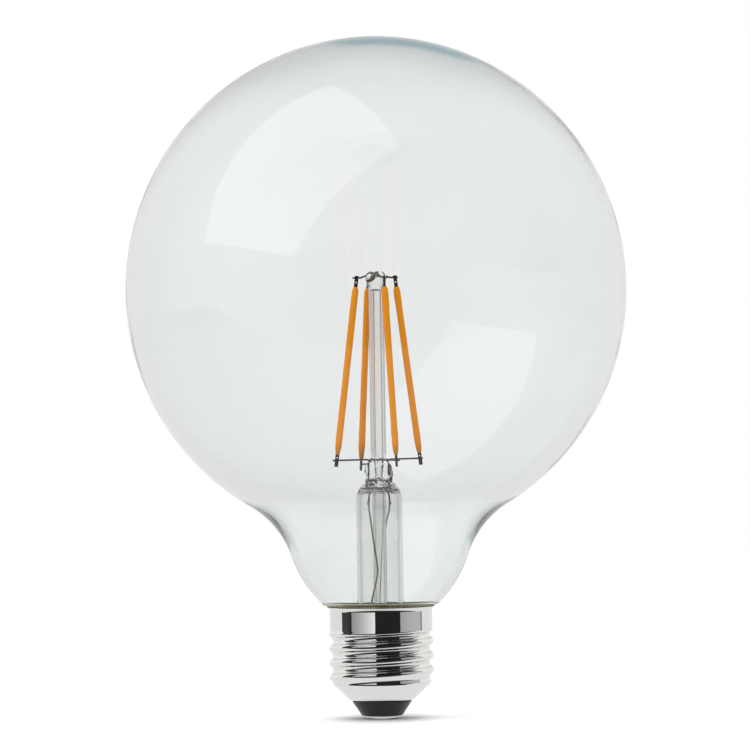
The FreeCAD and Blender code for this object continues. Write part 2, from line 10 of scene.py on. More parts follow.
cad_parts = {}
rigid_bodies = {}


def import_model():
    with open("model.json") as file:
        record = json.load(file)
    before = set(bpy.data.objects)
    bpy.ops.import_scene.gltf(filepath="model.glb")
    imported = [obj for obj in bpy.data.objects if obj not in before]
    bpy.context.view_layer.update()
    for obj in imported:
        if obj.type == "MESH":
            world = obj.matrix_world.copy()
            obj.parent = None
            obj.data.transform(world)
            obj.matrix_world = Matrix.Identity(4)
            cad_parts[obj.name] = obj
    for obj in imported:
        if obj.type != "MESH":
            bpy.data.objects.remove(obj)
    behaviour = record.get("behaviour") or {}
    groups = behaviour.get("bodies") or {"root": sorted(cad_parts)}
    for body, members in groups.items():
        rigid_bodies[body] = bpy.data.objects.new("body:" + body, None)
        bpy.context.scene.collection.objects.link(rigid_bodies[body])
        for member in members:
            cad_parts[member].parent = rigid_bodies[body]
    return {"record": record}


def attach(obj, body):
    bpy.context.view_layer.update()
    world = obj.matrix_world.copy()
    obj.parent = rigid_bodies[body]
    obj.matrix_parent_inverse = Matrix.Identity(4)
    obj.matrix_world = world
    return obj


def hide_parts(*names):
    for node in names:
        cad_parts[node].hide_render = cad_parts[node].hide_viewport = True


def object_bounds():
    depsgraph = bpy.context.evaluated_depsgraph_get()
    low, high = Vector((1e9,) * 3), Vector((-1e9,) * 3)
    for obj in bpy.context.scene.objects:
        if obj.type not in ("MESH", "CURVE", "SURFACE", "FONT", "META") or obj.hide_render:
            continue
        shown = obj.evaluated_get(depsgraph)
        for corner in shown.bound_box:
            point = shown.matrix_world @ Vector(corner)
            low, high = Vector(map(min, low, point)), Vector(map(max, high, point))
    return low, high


bl_info = {
    "name": "Globe Bulb",
    "version": (1, 0, 0),
    "blender": (4, 5, 0),
    "location": "View3D > Sidebar > Bulb",
    "description": "Models and finishes a clear globe bulb round its packed frame",
    "category": "Object",
}

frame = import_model()
CAD_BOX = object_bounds()
MM = 0.001


def linear(code):
    """Linear RGBA of an sRGB hex colour."""
    shares = [int(code[place:place + 2], 16) / 255 for place in (1, 3, 5)]
    return [s / 12.92 if s <= 0.04045 else ((s + 0.055) / 1.055) ** 2.4 for s in shares] + [1.0]


def length(name, description, millimetres):
    """A length that the user can change, given in millimetres."""
    return FloatProperty(
        name=name, description=description, default=millimetres * MM, precision=5, unit="LENGTH"
    )


def rotation(name, description, degrees):
    """An angle that the user can change, given in degrees."""
    return FloatProperty(
        name=name, description=description, default=math.radians(degrees), precision=3, unit="ROTATION"
    )


def colour(name, description, code):
    """A colour that the user can change, given as an sRGB hex value."""
    return FloatVectorProperty(
        name=name, description=description, default=linear(code), size=4, min=0, max=1, subtype="COLOR"
    )


class GlassSizes(bpy.types.PropertyGroup):
    """Sizes of the blown globe and of the stem inside it."""

    globe_radius: length("Globe radius", "Radius of the round part of the globe", CAD_BOX[1].x / MM)
    globe_height: length("Globe height", "Height of the globe's centre over the contact", 107.0)
    overall_length: length("Overall length", "From the centre contact to the crown", CAD_BOX[1].z / MM)
    shoulder_radius: length("Shoulder radius", "Radius of the hollow curve under the globe", 23.9)
    neck_radius: length("Neck radius", "Radius of the round curve over the cap", 28.3)
    neck_slope: rotation("Neck slope", "Slope of the neck at the cap's rim", 47.3)
    seat_radius: length("Seat radius", "Radius of the neck at the cap's rim", 14.21)
    seat_height: length("Seat height", "Height of the neck at the cap's rim", 28.35)
    foot_round: length("Foot round", "Radius of the neck's lower corner", 0.35)
    tube_radius: length("Tube radius", "Radius of the neck inside the cap", 11.6)
    bend_radius: length("Bend radius", "Radius of the bend at the cap's rim", 1.5)
    seal_height: length("Seal height", "Height of the neck's lower end", 19.9)
    seal_wall: length("Seal wall", "Wall of the neck's lower end", 1.6)
    globe_wall: length("Globe wall", "Wall of the round part", 0.7)
    shoulder_wall: length("Shoulder wall", "Wall where the glass gathers in the shoulder", 1.3)
    shoulder_height: length("Shoulder height", "Height where the shoulder's wall is thickest", 41.3)
    shoulder_spread: length("Shoulder spread", "How far from there the wall is thin again", 14.0)
    crown_wall: length("Crown wall", "Wall where the glass gathers in the crown", 0.9)
    crown_start: length("Crown start", "Height where the wall starts to gather for the crown", 120.0)
    crown_spread: length("Crown spread", "Rise over which the wall gathers for the crown", 50.0)
    crown_shift: length("Crown shift", "How far the inside of the crown lies to the left", 0.15)
    crown_teal: length("Crown teal", "Height above which the crown is teal at its edge", 165.5)
    shoulder_teal: length("Shoulder teal", "Height where the shoulder is teal at its edge", 47.0)
    stem_radius: length("Stem radius", "Radius of the stem's tube", 5.75)
    post_radius: length("Post radius", "Radius of the post between the filaments", 1.925)
    pinch_flatness: FloatProperty(
        name="Pinch flatness", description="Depth of the pinch as a share of its width",
        default=0.62, subtype="FACTOR",
    )


class FilamentSizes(bpy.types.PropertyGroup):
    """Sizes and places of the four filaments."""

    coat_radius: length("Coat radius", "Radius of the coat along its middle", 0.84)
    foot_radius: length("Foot radius", "Distance of the lower welds from the axis", 11.3)
    top_radius: length("Top radius", "Distance of the upper welds from the axis", 5.2)
    foot_height: length("Foot height", "Height of the lower welds", 64.7)
    top_height: length("Top height", "Height of the upper welds", 110.1)
    lower_gap: length("Lower gap", "Bare strip under the coat", 1.4)
    upper_gap: length("Upper gap", "Bare strip over the coat", 2.3)
    drop: length("Drop", "How much lower the second filament stands", 1.4)


class CapSizes(bpy.types.PropertyGroup):
    """Sizes of the screw cap."""

    sheet: length("Sheet", "Thickness of the shell's metal", 0.3)
    opening_radius: length("Opening radius", "Radius of the hole in the cone", 7.2)
    cone_foot_radius: length("Cone foot radius", "Radius of the cone's foot", 8.1)
    cone_foot_height: length("Cone foot height", "Height of the cone's foot", 4.7)
    thread_bottom: length("Thread bottom", "Height of the thread's lower end", 8.6)
    thread_top: length("Thread top", "Height of the thread's upper end", 22.3)
    root_radius: length("Root radius", "Radius of the thread's root", 12.175)
    thread_depth: length("Thread depth", "From root to crest", 0.975)
    pitch: length("Pitch", "Rise of the thread in a turn", 3.629)
    crest_height: length("Crest height", "Height of a crest on the right-hand side", 15.8)
    run_in: length("Run in", "Height over which the thread starts", 1.4)
    run_out: length("Run out", "Height over which the thread ends", 1.2)
    collar_radius: length("Collar radius", "Radius of the plain collar", 12.9)
    collar_top: length("Collar top", "Height of the collar's upper end", 26.95)
    flare_top: length("Flare top", "Height where the rim reaches its radius", 27.95)
    rim_radius: length("Rim radius", "Radius of the rim", 13.6)
    rim_top: length("Rim top", "Height of the rim", 28.05)


class StageSizes(bpy.types.PropertyGroup):
    """Places and sizes of the floor, the camera, the softbox and the cards."""

    floor_width: length("Floor width", "Width of the sheet of paper", 2400)
    floor_depth: length("Floor depth", "Depth of the sheet of paper", 1400)
    floor_back: length("Floor back", "How far behind the bulb the paper's middle lies", 450)
    camera_distance: length("Camera distance", "From the camera to the bulb's axis", 2200)
    camera_tilt: rotation("Camera tilt", "How far the camera looks down", 0.65)
    camera_roll: rotation("Camera roll", "How far the camera leans to one side", -0.867)
    aim_aside: length("Aim aside", "How far right of the axis the camera aims", -0.57)
    aim_height: length("Aim height", "How high the camera aims", 85.8)
    focal_length: FloatProperty(
        name="Focal length", description="Focal length of the camera", default=422.9, unit="CAMERA"
    )
    softbox_width: length("Softbox width", "Width of the lit face", 1160)
    softbox_height: length("Softbox height", "Height of the lit face", 1580)
    softbox_power: FloatProperty(
        name="Softbox power", description="Light that the softbox gives", default=3.6, unit="POWER"
    )
    card_distance: length("Card distance", "From the axis to the reflected cards", 300)


class BulbColours(bpy.types.PropertyGroup):
    """Colours of the bulb's materials."""

    glass: colour("Globe glass", "Face of the globe's glass", "#FBFCFC")
    glass_edge: colour("Globe edge", "Globe's glass seen edge-on at the crown and shoulder", "#7FB6C0")
    stem: colour("Stem glass", "Face of the stem's glass", "#FAFBFA")
    phosphor: colour("Phosphor", "Coat of the filaments", "#F29000")
    phosphor_pale: colour("Pale phosphor", "Thinner places of the coat", "#FF9E00")
    phosphor_end: colour("Coat ends", "Browner lower ends of the coat", "#B5701A")
    cement: colour("Cement", "Base cement", "#8C8252")
    cement_dark: colour("Dark cement", "Wet-looking patches of the cement", "#544C2F")
    nickel: colour("Nickel", "Plating of the shell", "#E6E5E3")
    contact: colour("Contact", "Plating of the centre contact", "#DAD8D4")
    insulator: colour("Insulator", "Black insulator", "#1B1B1C")
    wire: colour("Lead wire", "Wires at the filaments", "#8C857B")
    tab: colour("Tab", "Strip at the filaments' ends", "#5B554E")
    seal: colour("Seal wire", "Wires in the pinch", "#7A3A22")
    tail: colour("Tail wire", "Wires under the pinch", "#D9CBAE")
    board: colour("Board", "Solder mask of the driver board", "#1D5A35")
    sleeve: colour("Sleeve", "Sleeve of the capacitor", "#2A2D38")
    lacquer: colour("Lacquer", "Lacquer of the resistor", "#5C7F63")
    epoxy: colour("Epoxy", "Moulding of the chips", "#232324")


def fade(share):
    """A soft step from 0 to 1."""
    share = min(max(share, 0.0), 1.0)
    return share * share * (3 - 2 * share)


def arc(centre, start, end, steps):
    """Outline points on the short arc from one point to another, without the last."""
    radius = math.dist(centre, start)
    first = math.atan2(start[1] - centre[1], start[0] - centre[0])
    last = math.atan2(end[1] - centre[1], end[0] - centre[0])
    turn = (last - first + math.pi) % math.tau - math.pi
    angles = [first + turn * step / steps for step in range(steps)]
    return [(centre[0] + radius * math.cos(a), centre[1] + radius * math.sin(a)) for a in angles]


def flowing(points, steps):
    """Outline points on a smooth line through the given ones."""
    line = []
    for place in range(len(points) - 1):
        a, b, c, d = (Vector(points[min(max(place + i, 0), len(points) - 1)]) for i in (-1, 0, 1, 2))
        for step in range(steps):
            t = step / steps
            spot = 0.5 * (2 * b + (c - a) * t + (2 * a - 5 * b + 4 * c - d) * t * t
                          + (3 * b - a - 3 * c + d) * t ** 3)
            line.append((max(spot.x, 0.0), spot.y))
    return line + [tuple(points[-1])]


def spaced(start, end, count):
    """Heights in even steps from one to another, without the last."""
    return [start + (end - start) * step / count for step in range(count)]


def in_metres(points):
    """Outline points given in millimetres."""
    return [(r * MM, z * MM) for r, z in points]


def pick(piece):
    """Select one piece alone and make it the active one."""
    bpy.ops.object.select_all(action="DESELECT")
    piece.select_set(True)
    bpy.context.view_layer.objects.active = piece


def edit(piece):
    """Go into edit mode on one piece alone."""
    pick(piece)
    bpy.ops.object.mode_set(mode="EDIT")
    bpy.ops.mesh.select_mode(type="VERT")


def select_where(piece, test):
    """Select the vertices whose place passes the test."""
    net = bmesh.from_edit_mesh(piece.data)
    for vert in net.verts:
        vert.select_set(bool(test(vert.co)))
    net.select_flush(True)
    bmesh.update_edit_mesh(piece.data)


def draw_outline(points):
    """Extrude a chain of vertices from the selected one along an outline of (radius, height) points."""
    for (r0, z0), (r1, z1) in zip(points, points[1:]):
        bpy.ops.mesh.extrude_vertices_move(TRANSFORM_OT_translate={"value": (r1 - r0, 0, z1 - z0)})


def lathe(name, outline, steps, angle=40):
    """Spin an outline of (radius, height) points round the axis into a closed piece."""
    bpy.ops.object.select_all(action="DESELECT")
    bpy.ops.mesh.primitive_plane_add(size=MM)
    piece = bpy.context.object
    piece.name = piece.data.name = name
    edit(piece)
    bpy.ops.mesh.select_all(action="SELECT")
    bpy.ops.mesh.merge(type="CENTER")
    bpy.ops.transform.translate(value=(outline[0][0], 0, outline[0][1]))
    draw_outline(outline)
    bpy.ops.mesh.select_all(action="SELECT")
    bpy.ops.mesh.spin(steps=steps, angle=math.tau, center=(0, 0, 0), axis=(0, 0, 1))
    bpy.ops.mesh.select_all(action="SELECT")
    bpy.ops.mesh.remove_doubles(threshold=1e-6)
    bpy.ops.mesh.normals_make_consistent(inside=False)
    bpy.ops.object.mode_set(mode="OBJECT")
    bpy.ops.object.shade_smooth_by_angle(angle=math.radians(angle))
    return piece


def roughen(piece, size, height, test=None):
    """Push a piece's surface in and out in soft lumps, all over or as far as the test says."""
    lumps = bpy.data.textures.new(f"{piece.name}_lumps", "CLOUDS")
    lumps.noise_scale = size
    lumps.noise_depth = 1
    push = piece.modifiers.new("lumps", "DISPLACE")
    push.texture = lumps
    push.texture_coords = "LOCAL"
    push.strength = height
    if test:
        group = piece.vertex_groups.new(name="lumps")
        for vert in piece.data.vertices:
            group.add([vert.index], test(vert.co), "REPLACE")
        push.vertex_group = group.name
    pick(piece)
    bpy.ops.object.modifier_apply(modifier=push.name)
    piece.vertex_groups.clear()


def node(tree, kind, inputs=None, **settings):
    """Add a node with its settings, and its inputs' values or links."""
    new = tree.nodes.new(kind)
    for key, value in settings.items():
        setattr(new, key, value)
    for key, value in (inputs or {}).items():
        if isinstance(value, bpy.types.NodeSocket):
            tree.links.new(value, new.inputs[key])
        else:
            new.inputs[key].default_value = value
    return new


def blank(name):
    """A material with an empty node tree."""
    material = bpy.data.materials.new(name)
    material.use_nodes = True
    material.node_tree.nodes.clear()
    return material, material.node_tree


def close(tree, surface, volume=None):
    """Link the finished shader to the material's output."""
    end = node(tree, "ShaderNodeOutputMaterial", {"Surface": surface})
    if volume:
        tree.links.new(volume, end.inputs["Volume"])


def let_light_through(tree, glass, clear, tint):
    """Finish a glass: light and shadow pass straight through, and the tint deepens with thickness."""
    rays = node(tree, "ShaderNodeLightPath").outputs
    lit = node(tree, "ShaderNodeMath", {
        0: rays["Is Shadow Ray"], 1: rays["Is Diffuse Ray"]}, operation="MAXIMUM")
    both = node(tree, "ShaderNodeMixShader", {
        "Fac": lit.outputs[0], 1: glass.outputs[0], 2: clear.outputs[0]})
    close(tree, both.outputs[0], tint.outputs[0])


def blown_glass(colours, sizes):
    """Blown soda-lime glass."""
    # Clear and smooth from the flame and a little wavy from the mould. At the crown and the shoulder it
    # is pale teal where it is seen edge-on, and the crown's teal reaches lower on the right.
    crown_lean = 0.14
    crown_band = 2.5 * MM
    shoulder_core = 2 * MM
    shoulder_band = 8 * MM
    skin = 0.3 * MM
    material, tree = blank("blown_soda_lime_glass")
    place = node(tree, "ShaderNodeTexCoord").outputs["Object"]
    waves = node(tree, "ShaderNodeTexNoise", {"Vector": place, "Scale": 1 / (14 * MM), "Detail": 1.0})
    ripple = node(tree, "ShaderNodeBump", {
        "Height": waves.outputs["Fac"], "Strength": 0.05, "Distance": 0.4 * MM})
    height = node(tree, "ShaderNodeSeparateXYZ", {"Vector": place}).outputs["Z"]
    slant = node(tree, "ShaderNodeVectorMath", {
        0: place, 1: (crown_lean, 0.0, 1.0)}, operation="DOT_PRODUCT")
    crown = node(tree, "ShaderNodeMapRange", {
        "Value": slant.outputs["Value"],
        "From Min": sizes.crown_teal, "From Max": sizes.crown_teal + crown_band},
        interpolation_type="SMOOTHSTEP")
    over = node(tree, "ShaderNodeMath", {0: height, 1: sizes.shoulder_teal}, operation="SUBTRACT")
    apart = node(tree, "ShaderNodeMath", {0: over.outputs[0]}, operation="ABSOLUTE")
    shoulder = node(tree, "ShaderNodeMapRange", {
        "Value": apart.outputs[0], "From Min": shoulder_core, "From Max": shoulder_band,
        "To Min": 0.5, "To Max": 0.0}, interpolation_type="SMOOTHSTEP")
    reach = node(tree, "ShaderNodeVectorMath", {
        0: place, 1: (0, 0, sizes.globe_height)}, operation="DISTANCE")
    outer = node(tree, "ShaderNodeMapRange", {
        "Value": reach.outputs["Value"],
        "From Min": sizes.globe_radius - skin, "From Max": sizes.globe_radius + skin})
    top = node(tree, "ShaderNodeMath", {
        0: crown.outputs["Result"], 1: outer.outputs["Result"]}, operation="MULTIPLY")
    thick = node(tree, "ShaderNodeMath", {
        0: top.outputs[0], 1: shoulder.outputs["Result"]}, operation="MAXIMUM")
    edge_on = node(tree, "ShaderNodeMapRange", {
        "Value": node(tree, "ShaderNodeLayerWeight", {"Blend": 0.5}).outputs["Facing"],
        "From Min": 0.7, "From Max": 0.78}, interpolation_type="SMOOTHSTEP")
    deep = node(tree, "ShaderNodeMath", {
        0: thick.outputs[0], 1: edge_on.outputs["Result"]}, operation="MULTIPLY")
    body = node(tree, "ShaderNodeMix", {
        "Factor": deep.outputs[0], 6: tuple(colours.glass), 7: tuple(colours.glass_edge)},
        data_type="RGBA")
    glass = node(tree, "ShaderNodeBsdfPrincipled", {
        "Base Color": body.outputs[2], "Roughness": 0.0, "IOR": 1.51,
        "Transmission Weight": 1.0, "Normal": ripple.outputs["Normal"]})
    clear = node(tree, "ShaderNodeBsdfTransparent", {"Color": linear("#F7F9F9")})
    tint = node(tree, "ShaderNodeVolumeAbsorption", {"Color": linear("#9CC6CB"), "Density": 15.0})
    let_light_through(tree, glass, clear, tint)
    return material


def stem_glass(colours):
    """Drawn and pressed stem glass."""
    # Soft lead-free glass: clear, with faint streaks along the drawn tube, and greyer where it is thick.
    material, tree = blank("drawn_stem_glass")
    place = node(tree, "ShaderNodeTexCoord").outputs["Object"]
    drawn = node(tree, "ShaderNodeMapping", {"Vector": place, "Scale": (1.0, 1.0, 0.08)})
    streaks = node(tree, "ShaderNodeTexNoise", {
        "Vector": drawn.outputs["Vector"], "Scale": 1 / (2.4 * MM), "Detail": 0.0})
    ripple = node(tree, "ShaderNodeBump", {
        "Height": streaks.outputs["Fac"], "Strength": 0.03, "Distance": 0.2 * MM})
    glass = node(tree, "ShaderNodeBsdfPrincipled", {
        "Base Color": tuple(colours.stem), "Roughness": 0.0, "IOR": 1.51,
        "Transmission Weight": 1.0, "Normal": ripple.outputs["Normal"]})
    clear = node(tree, "ShaderNodeBsdfTransparent", {"Color": linear("#EDEFEE")})
    tint = node(tree, "ShaderNodeVolumeAbsorption", {"Color": linear("#C4CBC7"), "Density": 12.0})
    let_light_through(tree, glass, clear, tint)
    return material


def phosphor_silicone(colours, sizes):
    """Silicone loaded with yellow phosphor."""
    # Moulded soft silicone: warm yellow, mottled, with fine grains, and browner at the lower ends.
    brown_start = sizes.foot_height + 1.0 * MM
    brown_end = sizes.foot_height + 4.5 * MM
    material, tree = blank("phosphor_silicone")
    place = node(tree, "ShaderNodeTexCoord").outputs["Object"]
    mottle = node(tree, "ShaderNodeTexNoise", {
        "Vector": place, "Scale": 1 / (1.8 * MM), "Detail": 3.0, "Roughness": 0.6})
    grains = node(tree, "ShaderNodeTexNoise", {"Vector": place, "Scale": 1 / (0.25 * MM), "Detail": 1.0})
    body = node(tree, "ShaderNodeMix", {
        "Factor": mottle.outputs["Fac"], 6: tuple(colours.phosphor), 7: tuple(colours.phosphor_pale)},
        data_type="RGBA")
    height = node(tree, "ShaderNodeSeparateXYZ", {"Vector": place}).outputs["Z"]
    foot = node(tree, "ShaderNodeMapRange", {
        "Value": height, "From Min": brown_start, "From Max": brown_end, "To Min": 0.85, "To Max": 0.0})
    ends = node(tree, "ShaderNodeMix", {
        "Factor": foot.outputs["Result"], 6: body.outputs[2], 7: tuple(colours.phosphor_end)},
        data_type="RGBA")
    relief = node(tree, "ShaderNodeBump", {
        "Height": grains.outputs["Fac"], "Strength": 0.25, "Distance": 0.05 * MM})
    gloss = node(tree, "ShaderNodeMapRange", {
        "Value": mottle.outputs["Fac"], "To Min": 0.38, "To Max": 0.55})
    silicone = node(tree, "ShaderNodeBsdfPrincipled", {
        "Base Color": ends.outputs[2], "Roughness": gloss.outputs["Result"], "IOR": 1.41,
        "Specular IOR Level": 0.2, "Normal": relief.outputs["Normal"]})
    close(tree, silicone.outputs[0])
    return material


def drawn_metal(name, shade, roughness, spread, grain, relief):
    """Drawn, rolled or plated metal with a worn, uneven shine."""
    # Bright metal with a duller, darker skin in patches and a fine, uneven grain.
    material, tree = blank(name)
    place = node(tree, "ShaderNodeTexCoord").outputs["Object"]
    patches = node(tree, "ShaderNodeTexNoise", {
        "Vector": place, "Scale": 1 / (grain * MM), "Detail": 4.0, "Roughness": 0.6})
    darker = [share * (1 - spread) for share in shade[:3]] + [1.0]
    skin = node(tree, "ShaderNodeMix", {
        "Factor": patches.outputs["Fac"], 6: darker, 7: tuple(shade)}, data_type="RGBA")
    shine = node(tree, "ShaderNodeMapRange", {
        "Value": patches.outputs["Fac"], "From Min": 0.3, "From Max": 0.7,
        "To Min": roughness * 0.75, "To Max": roughness * 1.3})
    fine = node(tree, "ShaderNodeTexNoise", {"Vector": place, "Scale": 5 / (grain * MM), "Detail": 2.0})
    bump = node(tree, "ShaderNodeBump", {
        "Height": fine.outputs["Fac"], "Strength": relief, "Distance": 0.02 * MM})
    metal = node(tree, "ShaderNodeBsdfPrincipled", {
        "Base Color": skin.outputs[2], "Metallic": 1.0, "Roughness": shine.outputs["Result"],
        "Normal": bump.outputs["Normal"]})
    close(tree, metal.outputs[0])
    return material


def cured_cement(colours):
    """Phenolic base cement, cured in the oven."""
    # Dull olive-brown paste with a fine grit and darker, wet-looking patches.
    material, tree = blank("phenolic_base_cement")
    place = node(tree, "ShaderNodeTexCoord").outputs["Object"]
    blots = node(tree, "ShaderNodeTexNoise", {
        "Vector": place, "Scale": 1 / (4 * MM), "Detail": 4.0, "Roughness": 0.65})
    spread = node(tree, "ShaderNodeMapRange", {
        "Value": blots.outputs["Fac"], "From Min": 0.35, "From Max": 0.65})
    grit = node(tree, "ShaderNodeTexNoise", {"Vector": place, "Scale": 1 / (0.5 * MM), "Detail": 2.0})
    shade = node(tree, "ShaderNodeMix", {
        "Factor": spread.outputs["Result"], 6: tuple(colours.cement_dark), 7: tuple(colours.cement)},
        data_type="RGBA")
    bump = node(tree, "ShaderNodeBump", {
        "Height": grit.outputs["Fac"], "Strength": 0.5, "Distance": 0.1 * MM})
    gloss = node(tree, "ShaderNodeMapRange", {
        "Value": blots.outputs["Fac"], "To Min": 0.45, "To Max": 0.85})
    paste = node(tree, "ShaderNodeBsdfPrincipled", {
        "Base Color": shade.outputs[2], "Roughness": gloss.outputs["Result"],
        "Normal": bump.outputs["Normal"]})
    close(tree, paste.outputs[0])
    return material


def moulded(name, shade, roughness, grain):
    """A moulded or lacquered body."""
    # Even colour with a faint cloud in it, an uneven satin shine and a fine orange-peel skin.
    material, tree = blank(name)
    place = node(tree, "ShaderNodeTexCoord").outputs["Object"]
    cloud = node(tree, "ShaderNodeTexNoise", {"Vector": place, "Scale": 1 / (3 * MM), "Detail": 3.0})
    darker = [share * 0.75 for share in shade[:3]] + [1.0]
    skin = node(tree, "ShaderNodeMix", {
        "Factor": cloud.outputs["Fac"], 6: darker, 7: tuple(shade)}, data_type="RGBA")
    shine = node(tree, "ShaderNodeMapRange", {
        "Value": cloud.outputs["Fac"], "From Min": 0.3, "From Max": 0.7,
        "To Min": roughness * 0.85, "To Max": roughness * 1.2})
    peel = node(tree, "ShaderNodeTexNoise", {"Vector": place, "Scale": 1 / (grain * MM), "Detail": 2.0})
    bump = node(tree, "ShaderNodeBump", {
        "Height": peel.outputs["Fac"], "Strength": 0.15, "Distance": 0.05 * MM})
    body = node(tree, "ShaderNodeBsdfPrincipled", {
        "Base Color": skin.outputs[2], "Roughness": shine.outputs["Result"], "Specular IOR Level": 0.3,
        "Normal": bump.outputs["Normal"]})
    close(tree, body.outputs[0])
    return material


def dress(piece, material):
    """Give a piece one material."""
    piece.data.materials.clear()
    piece.data.materials.append(material)


def stand_for(piece, slot, *names):
    """Let a finished piece ride on the bulb in place of its CAD nodes."""
    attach(piece, "root")
    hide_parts(*names)


def meeting_point(centre_a, radius_a, centre_b, radius_b):
    """Point at given distances from two centres, on the side away from the axis."""
    a, b = Vector(centre_a), Vector(centre_b)
    apart = b - a
    along = (radius_a ** 2 - radius_b ** 2 + apart.length_squared) / (2 * apart.length)
    across = math.sqrt(radius_a ** 2 - along ** 2)
    ahead = apart.normalized()
    spots = [a + along * ahead + side * across * Vector((-ahead.y, ahead.x)) for side in (1, -1)]
    return max(spots, key=lambda spot: spot.x)


def globe_outline(sizes):
    """Outer line of the globe from its crown to the neck's lower end."""
    centre = Vector((0, sizes.globe_height))
    rise = sizes.overall_length - sizes.globe_height
    seat = Vector((sizes.seat_radius, sizes.seat_height))
    slope = sizes.neck_slope
    neck = seat + sizes.neck_radius * Vector((-math.cos(slope), math.sin(slope)))
    shoulder = meeting_point(
        neck, sizes.neck_radius + sizes.shoulder_radius,
        centre, sizes.globe_radius + sizes.shoulder_radius)
    corner_z = sizes.seat_height + sizes.foot_round
    across = math.sqrt((sizes.neck_radius - sizes.foot_round) ** 2 - (corner_z - neck.y) ** 2)
    corner = Vector((neck.x + across, corner_z))
    bend = Vector((sizes.tube_radius + sizes.bend_radius, sizes.seat_height - sizes.bend_radius))
    side = Vector((sizes.globe_radius, sizes.globe_height))
    into_shoulder = centre + (shoulder - centre).normalized() * sizes.globe_radius
    into_neck = neck + (shoulder - neck).normalized() * sizes.neck_radius
    into_corner = neck + (corner - neck).normalized() * sizes.neck_radius
    under = Vector((corner.x, sizes.seat_height))
    into_bend = Vector((bend.x, sizes.seat_height))
    tube = Vector((sizes.tube_radius, bend.y))
    crown = [(sizes.globe_radius * math.sin(a), sizes.globe_height + rise * math.cos(a))
             for a in (step * math.pi / 80 for step in range(40))]
    line = crown + arc(centre, side, into_shoulder, 34) + arc(shoulder, into_shoulder, into_neck, 24)
    line += arc(neck, into_neck, into_corner, 20) + arc(corner, into_corner, under, 6)
    line += [tuple(under)] + arc(bend, into_bend, tube, 6)
    return line + [tuple(tube), (sizes.tube_radius, sizes.seal_height)]


def moved_in(line, place, distance):
    """A point of an outline, moved in from the surface."""
    (r, z), before, after = line[place], line[max(place - 1, 0)], line[min(place + 1, len(line) - 1)]
    along = Vector((after[0] - before[0], after[1] - before[1])).normalized()
    return max(r + along.y * distance, 0.0), z - along.x * distance


def wall_at(height, sizes):
    """Thickness of the globe's glass at a height: thin on the ball, gathered in the shoulder and crown."""
    in_shoulder = fade(1 - abs(height - sizes.shoulder_height) / sizes.shoulder_spread)
    in_crown = fade((height - sizes.crown_start) / sizes.crown_spread)
    wall = sizes.globe_wall + (sizes.shoulder_wall - sizes.globe_wall) * in_shoulder
    return wall + (sizes.crown_wall - sizes.globe_wall) * in_crown


def inside_of(line, sizes):
    """Inner line of the globe, from the neck's lower end back to the crown."""
    foot_top = sizes.seat_height + 1.1 * MM
    inner = [moved_in(line, place, wall_at(z, sizes)) for place, (r, z) in enumerate(line) if z > foot_top]
    inner[0] = (0.0, line[0][1] - sizes.crown_wall)
    bore = sizes.tube_radius - sizes.seal_wall
    bore_top = 25.6 * MM
    foot = in_metres([
        (14.3, 29.42), (13.55, 29.02), (12.7, 28.86), (11.75, 28.42), (10.85, 27.6), (10.25, 26.6)])
    inner += flowing([inner[-1]] + foot + [(bore, bore_top)], 3)[1:] + [(bore, sizes.seal_height)]
    return inner[::-1]


class BULB_OT_globe(bpy.types.Operator):
    """Blow the clear globe with its neck"""

    bl_idname = "bulb.globe"
    bl_label = "Globe"

    def execute(self, context):
        sizes = context.scene.bulb_glass
        line = globe_outline(sizes)
        globe = lathe("globe", line + inside_of(line, sizes), steps=160)
        inner_crown = Vector((0, 0, sizes.overall_length - sizes.crown_wall))
        shift_reach = 80 * MM
        edit(globe)
        select_where(globe, lambda co: (co - inner_crown).length < 0.1 * MM)
        bpy.ops.transform.translate(
            value=(-sizes.crown_shift, 0, 0), use_proportional_edit=True, use_proportional_connected=True,
            proportional_edit_falloff="SMOOTH", proportional_size=shift_reach)
        bpy.ops.object.mode_set(mode="OBJECT")
        dress(globe, blown_glass(context.scene.bulb_colours, sizes))
        stand_for(globe, "globe_glass", "glass_globe")
        return {"FINISHED"}


class BULB_OT_cement(bpy.types.Operator):
    """Press the ring of cement between the neck and the cap's rim"""

    bl_idname = "bulb.cement"
    bl_label = "Cement"

    def execute(self, context):
        glass, cap = context.scene.bulb_glass, context.scene.bulb_cap
        # The ring bites into the skin of the glass, so no gap shows, and stays just clear of the shell.
        bite = 0.08 * MM
        clear = 0.02 * MM
        edge = 0.1 * MM
        seam = 0.18 * MM
        bulge = 0.06 * MM
        depth = 3.6 * MM
        slack = 0.01 * MM
        foot = cap.rim_top - depth
        line = globe_outline(glass)
        inner = [moved_in(line, place, bite) for place, (r, z) in enumerate(line[:-1])
                 if z < glass.seat_height + slack and r < cap.rim_radius]
        inner = [(cap.rim_radius - edge, glass.seat_height + bite)] + inner
        inner += [(glass.tube_radius - bite, foot)]
        heights = [foot] + spaced(cap.collar_top, cap.flare_top, 5) + [cap.flare_top]
        outer = [(shell_radius(0, z, cap) - cap.sheet - clear, z) for z in heights]
        outer += [(cap.rim_radius - seam, cap.rim_top + bulge),
                  (cap.rim_radius - edge, cap.rim_top + 2 * bulge)]
        ring = lathe("cement_ring", inner + outer + inner[:1], steps=180, angle=50)
        dress(ring, cured_cement(context.scene.bulb_colours))
        stand_for(ring, "cement", "base_cement")
        return {"FINISHED"}


